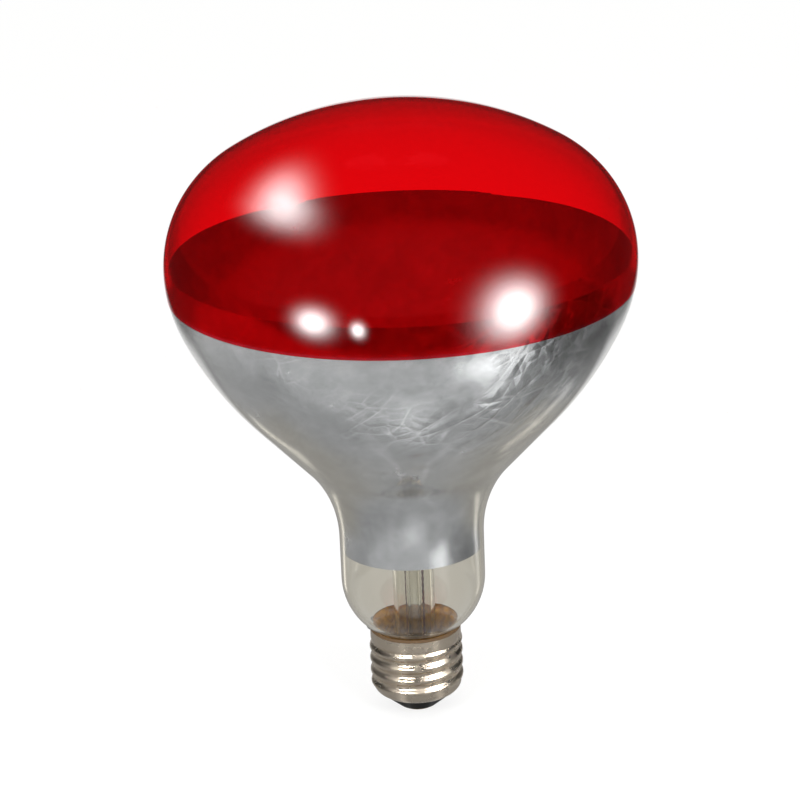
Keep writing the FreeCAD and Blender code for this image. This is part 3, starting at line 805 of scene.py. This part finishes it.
class HEATLAMP_OT_twist_leads(Operator):
    """Twist each lead of the stem from two strands"""

    bl_idname = "heat_lamp.twist_leads"
    bl_label = "Twist Leads"

    def execute(self, context):
        size = context.scene.heat_lamp_wires
        finish, pattern = context.scene.heat_lamp_finishes, context.scene.heat_lamp_patterns
        copper = metal_material(
            "Dulled copper wire", finish.copper, pattern.lead_grain, roughness=0.4, strength=0.2
        )
        centre, side = size.lead_azimuth, size.lead_azimuth + math.pi
        low, top = (corner.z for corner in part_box("outer_lead_centre"))
        over_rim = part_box("screw_shell")[1].z + size.rim_rise
        bend = size.rim_bend
        centre_route = [
            on_ring(size.lead_radius, centre, top),
            on_ring(size.lead_radius, centre, size.lead_bend + size.strand_run),
            on_ring(size.lead_radius, centre, size.lead_bend),
            Vector((0.0, 0.0, size.eyelet_top)),
            Vector((0.0, 0.0, low)),
        ]
        side_route = [
            on_ring(size.lead_radius, side, top),
            on_ring(size.lead_radius, side, size.flare_rim + size.strand_run),
            on_ring(size.lead_radius, side, size.flare_rim),
            on_ring(size.side_radius, size.side_azimuth, size.flare_rim - size.strand_run / 4),
            on_ring(size.side_radius, size.side_azimuth, size.flare_rim + size.strand_run),
            on_ring(size.side_radius, size.side_azimuth, over_rim - size.strand_run),
            on_ring(size.rim_inside, size.side_azimuth, over_rim - size.strand_run / 2),
            on_ring(size.rim_inside, size.side_azimuth, over_rim - bend),
            on_ring(size.rim_inside + bend, size.side_azimuth, over_rim),
            on_ring(size.rim_outside - bend, size.side_azimuth, over_rim),
            on_ring(size.rim_outside, size.side_azimuth, over_rim - bend),
            on_ring(size.rim_outside, size.side_azimuth, over_rim - size.rim_drop),
        ]
        routes = {
            "outer_lead_centre": (centre_route, size.centre_lead),
            "outer_lead_side": (side_route, size.side_lead),
        }
        for node, (route, diameter) in routes.items():
            line = smooth_line(route)
            strands = [
                wound(line, diameter / 4, size.strand_twist, phase, size.strand_points)
                for phase in (0.0, math.pi)
            ]
            lead = wire_mesh(node.replace("outer", "twisted"), strands, diameter / 2, size.strand_sides)
            finish_piece(lead, copper, "copper_lead", node)
        return {"FINISHED"}


class HEATLAMP_OT_wind_filament(Operator):
    """Wind the tungsten filament"""

    bl_idname = "heat_lamp.wind_filament"
    bl_label = "Wind Filament"

    def execute(self, context):
        size = context.scene.heat_lamp_wires
        low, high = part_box("filament")
        level = (low.z + high.z) / 2
        azimuths = [size.ring_start + size.span_angle * n for n in range(size.spans + 1)]
        corners = [on_ring(size.ring_radius, azimuth, level) for azimuth in azimuths]
        route = [corners[0]]
        for before, corner, after in zip(corners, corners[1:], corners[2:]):
            route.append(corner + (before - corner).normalized() * size.filament_bend)
            route.append(corner)
            route.append(corner + (after - corner).normalized() * size.filament_bend)
        route.append(corners[-1])
        coil_radius = (size.coil_diameter - size.coil_wire) / 2
        turns = wound(smooth_line(route), coil_radius, size.coil_pitch, 0.0, size.coil_points)
        coil = wire_mesh("wound_filament", [turns], size.coil_wire, size.coil_sides)
        tint = context.scene.heat_lamp_finishes.tungsten
        grain = context.scene.heat_lamp_patterns.tungsten_grain
        tungsten = metal_material("Wound tungsten", tint, grain, roughness=0.4, strength=0.1)
        finish_piece(coil, tungsten, "tungsten_coil", "filament")
        return {"FINISHED"}


class HEATLAMP_OT_finish_stem(Operator):
    """Finish the glass stem and the wires that it holds"""

    bl_idname = "heat_lamp.finish_stem"
    bl_label = "Finish Stem"

    def execute(self, context):
        finish, pattern = context.scene.heat_lamp_finishes, context.scene.heat_lamp_patterns
        stem = glass_material(
            "Drawn lead glass", finish.stem_glass, ior=1.56, ripple=pattern.stem_ripple, strength=0.05
        )
        copper = metal_material(
            "Copper-clad wire", finish.copper, pattern.lead_grain, roughness=0.4, strength=0.2
        )
        nickel = metal_material(
            "Drawn nickel wire", finish.lead_nickel, pattern.lead_grain, roughness=0.25, strength=0.1
        )
        molybdenum = metal_material(
            "Molybdenum wire", finish.molybdenum, pattern.support_grain, roughness=0.35, strength=0.1
        )
        for node in ("stem_flare", "exhaust_tube", "stem_arbor"):
            dress_node(node, stem)
        for node in ("seal_wire_centre", "seal_wire_side"):
            dress_node(node, copper)
        for node in ("inner_lead_centre", "inner_lead_side"):
            dress_node(node, nickel)
        for number in (1, 2, 3):
            dress_node(f"support_wire_{number}", molybdenum)
        return {"FINISHED"}


# Stage

WHITE = (1.0, 1.0, 1.0, 1.0)
LAMP_TARGET = Vector((0.0, 0.0, 0.13))
# Soft lamps show only where they are mirrored. Their turns are in degrees about their line to the bulb.
SOFT_LAMPS = {
    "right": {"place": (0.127, -0.131, 0.12), "half_size": (0.096, 0.13), "turn": 0, "strength": 85},
    "left": {"place": (-0.105, -0.15, 0.116), "half_size": (0.055, 0.064), "turn": 0, "strength": 90},
    "small": {"place": (-0.055, -0.176, 0.105), "half_size": (0.02, 0.036), "turn": 0, "strength": 100},
    "back_high": {"place": (-0.216, 0.137, 0.503), "half_size": (0.303, 0.124), "turn": -34, "strength": 20},
    "back_low": {"place": (-0.265, 0.048, 0.502), "half_size": (0.345, 0.188), "turn": -12, "strength": 31},
}
SOFT_LAMP_FALL = 8.0
AREA_LIGHTS = {
    "right": {"place": (0.25, -0.4, 0.32), "size": 0.15, "watts": 1.6},
    "left": {"place": (-0.25, -0.4, 0.32), "size": 0.15, "watts": 1.4},
}

# The floor's light where glass or metal shows it. Each ramp has the measure that it follows, its start and
# its end in metres, and its levels there. Along is Y, away from the eye, and across is X.
FLOOR_RAMPS = {
    "left": ("across", -0.12, -0.22, 0.46, 0.68),
    "right": ("across", 0.06, 0.18, 1.0, 0.15),
    "far": ("along", 0.1, 0.18, 0.0, 1.0),
    "near": ("skewed", -0.02, -0.09, 0.0, 0.66),
    "fade": ("along", -0.27, -0.19, 0.3, 1.0),
    "strip": ("aside", 0.045, 0.03, 0.0, 0.5),
    "ring": ("off_ring", 0.055, 0.03, 0.0, 1.0),
    "clear_of_neck": ("aside", 0.05, 0.064, 0.0, 1.0),
    "behind": ("along", 0.28, 0.42, 0.0, 1.0),
    "between": ("aside", 0.5, 0.25, 0.0, 1.0),
    "beside": ("along", -0.02, 0.03, 0.0, 1.0),
    "close": ("aside", 0.12, 0.08, 0.0, 1.0),
    "at_foot": ("reach", 0.3, 0.12, 0.0, 1.0),
    "in_front": ("along", -0.02, -0.09, 0.32, 0.42),
    "in_line": ("aside", 0.22, 0.13, 0.02, 0.9),
}
FLOOR_POOLS = (
    {"centre": (0.105, -0.125, 0.0), "radius": 0.065, "level": 1.5},
    {"centre": (0.005, -0.072, 0.0), "radius": 0.035, "level": 0.5},
    {"centre": (0.165, -0.11, 0.0), "radius": 0.05, "level": 0.9},
    {"centre": (0.086, -0.078, 0.0), "radius": 0.03, "level": 0.8},
)
# Rays on the floor: the bearing midway between the two, their turn from it and half their own width
GLASS_RAYS = {"middle": math.radians(82), "half_angle": math.radians(51), "width": 0.2, "level": 1.4}
METAL_RAYS = {"middle": math.radians(-83), "half_angle": math.radians(39), "width": 0.4, "level": 0.62}
# The ring about the lamp's foot on which the glass shows the rays
RAY_RING = 0.097
# How far the edge of the lit front comes towards the eye for each metre to the right
NEAR_SKEW = 0.25
# The floor's own white, and its share in what the eye sees: the rest takes the shadow
FLOOR_WHITE = 1.02
WHITE_SHARE = 0.75
# Levels of the far floor in glass, and of the studio's dark, its front and its ceiling
FAR_LEVEL = 0.36
DARK_LEVEL = 0.02
FRONT_LEVEL = 0.1
CEILING_LEVEL = 0.6


def floor_measures(tree):
    """Measures of a place on the floor: along the axes, from the lamp's foot and from a ring about it."""
    place = add_node(tree, "ShaderNodeTexCoord").outputs["Object"]
    parts = add_node(tree, "ShaderNodeSeparateXYZ", None, {0: place})
    across, along = parts.outputs["X"], parts.outputs["Y"]
    aside = add_node(tree, "ShaderNodeMath", {"operation": "ABSOLUTE"}, {0: across})
    skewed = add_node(
        tree, "ShaderNodeMath", {"operation": "MULTIPLY_ADD", 1: NEAR_SKEW}, {0: across, 2: along}
    )
    bearing = add_node(tree, "ShaderNodeMath", {"operation": "ARCTAN2"}, {0: along, 1: across})
    reach = add_node(tree, "ShaderNodeVectorMath", {"operation": "LENGTH"}, {0: place}).outputs["Value"]
    past_ring = add_node(tree, "ShaderNodeMath", {"operation": "SUBTRACT", 1: RAY_RING}, {0: reach})
    off_ring = add_node(tree, "ShaderNodeMath", {"operation": "ABSOLUTE"}, {0: past_ring})
    return {
        "place": place,
        "across": across,
        "along": along,
        "aside": aside,
        "skewed": skewed,
        "bearing": bearing,
        "reach": reach,
        "off_ring": off_ring,
    }


def floor_ramps(tree, measures):
    """The floor's ramps, by name."""
    ramps = {}
    for name, (measure, start, end, low, high) in FLOOR_RAMPS.items():
        span = {"From Min": start, "From Max": end, "To Min": low, "To Max": high}
        ramps[name] = add_node(
            tree,
            "ShaderNodeMapRange",
            {"interpolation_type": "SMOOTHSTEP", **span},
            {"Value": measures[measure]},
        )
    return ramps


def floor_pool(tree, place, centre, radius, level):
    """A soft round pool of light on the floor."""
    offset = add_node(tree, "ShaderNodeVectorMath", {"operation": "DISTANCE", 1: centre}, {0: place})
    return add_node(
        tree,
        "ShaderNodeMapRange",
        {"interpolation_type": "SMOOTHSTEP", "From Min": radius, "From Max": 0.0, "To Max": level},
        {"Value": offset.outputs["Value"]},
    )


def floor_rays(tree, bearing, middle, half_angle, width, level):
    """Two soft rays from the lamp's foot, one each side of a middle bearing."""
    offset = bearing
    for turn in (middle, half_angle):
        past = add_node(tree, "ShaderNodeMath", {"operation": "SUBTRACT", 1: turn}, {0: offset})
        offset = add_node(tree, "ShaderNodeMath", {"operation": "ABSOLUTE"}, {0: past})
    return add_node(
        tree,
        "ShaderNodeMapRange",
        {"interpolation_type": "SMOOTHSTEP", "From Min": width, "From Max": 0.0, "To Max": level},
        {"Value": offset},
    )


def floor_in_glass(tree, measures, ramps):
    """Level of the floor in glass: dimmer to the sides, with a lit front, rays, backdrop and pools."""
    sides = add_node(tree, "ShaderNodeMath", {"operation": "MULTIPLY"}, {0: ramps["left"], 1: ramps["right"]})
    level = add_node(
        tree, "ShaderNodeMix", {"data_type": "FLOAT", 3: FAR_LEVEL}, {0: ramps["far"], 2: sides}
    )
    ring = add_node(
        tree, "ShaderNodeMath", {"operation": "MULTIPLY"}, {0: ramps["ring"], 1: ramps["clear_of_neck"]}
    )
    spread = floor_rays(tree, measures["bearing"], **GLASS_RAYS)
    rays = add_node(tree, "ShaderNodeMath", {"operation": "MULTIPLY"}, {0: spread, 1: ring})
    backdrop = add_node(
        tree, "ShaderNodeMath", {"operation": "MULTIPLY"}, {0: ramps["behind"], 1: ramps["between"]}
    )
    for part in (ramps["near"], ramps["strip"], rays, backdrop):
        level = add_node(tree, "ShaderNodeMath", {"operation": "MAXIMUM"}, {0: level, 1: part})
    level = add_node(tree, "ShaderNodeMath", {"operation": "MULTIPLY"}, {0: level, 1: ramps["fade"]})
    for settings in FLOOR_POOLS:
        pool = floor_pool(tree, measures["place"], **settings)
        level = add_node(tree, "ShaderNodeMath", {"operation": "ADD"}, {0: level, 1: pool})
    return level


def floor_tint(tree, ramps, warm):
    """Colour of the floor as glass shows it: white, and warm close behind the lamp."""
    nearby = add_node(
        tree, "ShaderNodeMath", {"operation": "SUBTRACT"}, {0: ramps["beside"], 1: ramps["behind"]}
    )
    warmth = add_node(tree, "ShaderNodeMath", {"operation": "MULTIPLY"}, {0: nearby, 1: ramps["close"]})
    return add_node(tree, "ShaderNodeMix", {"data_type": "RGBA", 6: WHITE, 7: warm}, {0: warmth}).outputs[2]


def floor_on_metal(tree, measures, ramps):
    """Level of the floor as a gloss mirrors it: dark, and lit at the lamp's foot and in line behind it."""
    rays = floor_rays(tree, measures["bearing"], **METAL_RAYS)
    lit = add_node(tree, "ShaderNodeMath", {"operation": "MAXIMUM"}, {0: ramps["in_front"], 1: rays})
    foot = add_node(tree, "ShaderNodeMath", {"operation": "MULTIPLY"}, {0: lit, 1: ramps["at_foot"]})
    line = add_node(tree, "ShaderNodeMath", {"operation": "MULTIPLY"}, {0: ramps["in_line"], 1: ramps["far"]})
    level = add_node(tree, "ShaderNodeMath", {"operation": "MAXIMUM"}, {0: foot, 1: line})
    return add_node(tree, "ShaderNodeMath", {"operation": "MAXIMUM", 1: DARK_LEVEL}, {0: level})


def by_ray(tree, surface, shaders):
    """A surface's shader with another one in its place for each kind of ray."""
    path = add_node(tree, "ShaderNodeLightPath")
    for ray, shader in shaders.items():
        surface = add_node(tree, "ShaderNodeMixShader", None, {0: path.outputs[ray], 1: surface, 2: shader})
    return surface


def floor_material(stage):
    """Pale studio floor: white to the eye, with a soft shadow, and lit in parts where the lamp shows it."""
    material, tree = new_material("Pale studio floor")
    measures = floor_measures(tree)
    ramps = floor_ramps(tree, measures)
    matt = add_node(tree, "ShaderNodeBsdfDiffuse", {"Color": stage.floor})
    white = add_node(tree, "ShaderNodeEmission", {"Color": WHITE, "Strength": FLOOR_WHITE})
    to_eye = add_node(tree, "ShaderNodeMixShader", {0: WHITE_SHARE}, {1: matt, 2: white})
    mirrored = floor_on_metal(tree, measures, ramps)
    on_metal = add_node(tree, "ShaderNodeEmission", {"Color": WHITE}, {"Strength": mirrored})
    tint = floor_tint(tree, ramps, stage.warm_floor)
    shown = floor_in_glass(tree, measures, ramps)
    in_glass = add_node(tree, "ShaderNodeEmission", None, {"Color": tint, "Strength": shown})
    shaders = {"Is Camera Ray": to_eye, "Is Glossy Ray": on_metal, "Is Transmission Ray": in_glass}
    add_node(tree, "ShaderNodeOutputMaterial", None, {"Surface": by_ray(tree, matt, shaders)})
    return material


def studio_world():
    """Even light on the lamp. Metal and glass mirror a dim studio, and glass shows a bright ceiling."""
    world = bpy.data.worlds.new("Studio")
    world.use_nodes = True
    tree = world.node_tree
    tree.nodes.clear()
    even = add_node(tree, "ShaderNodeBackground", {"Color": WHITE, "Strength": 1.0})
    heading = add_node(tree, "ShaderNodeTexCoord").outputs["Generated"]
    parts = add_node(tree, "ShaderNodeSeparateXYZ", None, {0: heading})
    span = {"From Min": 0.0, "From Max": -0.6, "To Min": DARK_LEVEL, "To Max": FRONT_LEVEL}
    front = add_node(
        tree,
        "ShaderNodeMapRange",
        {"interpolation_type": "SMOOTHSTEP", **span},
        {"Value": parts.outputs["Y"]},
    )
    dim = add_node(tree, "ShaderNodeBackground", {"Color": WHITE}, {"Strength": front})
    ceiling = add_node(tree, "ShaderNodeBackground", {"Color": WHITE, "Strength": CEILING_LEVEL})
    shaders = {"Is Glossy Ray": dim, "Is Transmission Ray": ceiling}
    add_node(tree, "ShaderNodeOutputWorld", None, {"Surface": by_ray(tree, even, shaders)})
    return world


def soft_lamp_material(strength):
    """Soft studio lamp: brightest in the middle, and faded to nothing at the rim."""
    material, tree = new_material("Soft lamp")
    place = add_node(tree, "ShaderNodeTexCoord").outputs["Object"]
    squared = add_node(tree, "ShaderNodeVectorMath", {"operation": "DOT_PRODUCT"}, {0: place, 1: place})
    fall = add_node(
        tree, "ShaderNodeMath", {"operation": "MULTIPLY", 1: -SOFT_LAMP_FALL}, {0: squared.outputs["Value"]}
    )
    fade = add_node(tree, "ShaderNodeMath", {"operation": "EXPONENT"}, {0: fall})
    level = add_node(tree, "ShaderNodeMath", {"operation": "MULTIPLY", 1: strength}, {0: fade})
    glow = add_node(tree, "ShaderNodeEmission", {"Color": WHITE}, {"Strength": level})
    clear = add_node(tree, "ShaderNodeBsdfTransparent", {"Color": WHITE})
    veil = add_node(tree, "ShaderNodeAddShader", None, {0: glow, 1: clear})
    add_node(tree, "ShaderNodeOutputMaterial", None, {"Surface": veil})
    return material


def add_soft_lamp(name, place, half_size, turn, strength):
    """A round soft lamp that faces the bulb and shows only where it is mirrored."""
    bpy.ops.object.select_all(action="DESELECT")
    bpy.ops.mesh.primitive_circle_add(vertices=48, radius=1.0, fill_type="NGON")
    lamp = bpy.context.object
    lamp.name = name
    lamp.location = place
    lamp.scale = (*half_size, 1.0)
    facing = (LAMP_TARGET - Vector(place)).to_track_quat("Z", "Y")
    lamp.rotation_euler = (facing @ Quaternion(AXIS, math.radians(turn))).to_euler()
    lamp.data.materials.append(soft_lamp_material(strength))
    lamp.visible_camera = False
    lamp.visible_diffuse = False
    lamp.visible_transmission = False
    lamp.visible_shadow = False


def add_light(name, place, size, watts):
    """A square light for the lamp's dull surfaces, which isn't mirrored."""
    bpy.ops.object.light_add(type="AREA", location=place)
    light = bpy.context.object
    light.name = name
    light.data.size = size
    light.data.energy = watts
    light.rotation_euler = (Vector(place) - LAMP_TARGET).to_track_quat("Z", "Y").to_euler()
    light.visible_glossy = False
    light.visible_transmission = False


class HEATLAMP_OT_set_stage(Operator):
    """Set the floor, the light and the camera"""

    bl_idname = "heat_lamp.set_stage"
    bl_label = "Set Stage"

    def execute(self, context):
        scene = context.scene
        stage = scene.heat_lamp_stage
        bpy.ops.object.select_all(action="DESELECT")
        bpy.ops.mesh.primitive_plane_add(size=stage.floor_size)
        floor = context.object
        floor.name = "floor"
        floor.data.materials.append(floor_material(stage))
        for name, lamp in SOFT_LAMPS.items():
            add_soft_lamp(f"lamp_{name}", **lamp)
        for name, light in AREA_LIGHTS.items():
            add_light(f"light_{name}", **light)
        scene.world = studio_world()

        bpy.ops.object.camera_add()
        camera = context.object
        pitch, roll = stage.camera_pitch, stage.camera_roll
        right = Vector((1.0, 0.0, 0.0))
        up = Vector((0.0, math.sin(pitch), math.cos(pitch)))
        forward = Vector((0.0, math.cos(pitch), -math.sin(pitch)))
        turned_right = right * math.cos(roll) - up * math.sin(roll)
        turned_up = right * math.sin(roll) + up * math.cos(roll)
        camera.matrix_world = Matrix.Translation((0.0, -stage.camera_back, stage.camera_height)) @ Matrix(
            (turned_right, turned_up, -forward)
        ).transposed().to_4x4()
        camera.data.sensor_width = 36.0
        camera.data.lens = stage.camera_lens
        camera.data.shift_x, camera.data.shift_y = stage.camera_shift
        camera.data.clip_start = 0.01
        scene.camera = camera
        scene.view_settings.view_transform = "Standard"
        return {"FINISHED"}


class HEATLAMP_PT_sidebar(Panel):
    """Lists the lamp's pieces"""

    bl_idname = "HEATLAMP_PT_sidebar"
    bl_label = "Heat Lamp"
    bl_space_type = "VIEW_3D"
    bl_region_type = "UI"
    bl_category = "Heat Lamp"

    def draw(self, context):
        for operator in OPERATORS:
            self.layout.operator(operator.bl_idname)


GROUPS = {
    "heat_lamp_bulb": BulbSizes,
    "heat_lamp_base": BaseSizes,
    "heat_lamp_wires": WireSizes,
    "heat_lamp_finishes": Finishes,
    "heat_lamp_patterns": PatternSizes,
    "heat_lamp_stage": StageSettings,
}
OPERATORS = (
    HEATLAMP_OT_blow_bulb,
    HEATLAMP_OT_coat_mirror,
    HEATLAMP_OT_coat_face,
    HEATLAMP_OT_finish_base,
    HEATLAMP_OT_pour_cement,
    HEATLAMP_OT_finish_stem,
    HEATLAMP_OT_twist_leads,
    HEATLAMP_OT_wind_filament,
    HEATLAMP_OT_set_stage,
)


def register():
    for group in (*GROUPS.values(), *OPERATORS, HEATLAMP_PT_sidebar):
        bpy.utils.register_class(group)
    for name, group in GROUPS.items():
        setattr(bpy.types.Scene, name, PointerProperty(type=group))


def unregister():
    for name in GROUPS:
        delattr(bpy.types.Scene, name)
    for group in (HEATLAMP_PT_sidebar, *reversed(OPERATORS), *GROUPS.values()):
        bpy.utils.unregister_class(group)


def main():
    register()
    for operator in OPERATORS:
        family, name = operator.bl_idname.split(".")
        getattr(getattr(bpy.ops, family), name)()


if __name__ == "__main__":
    main()
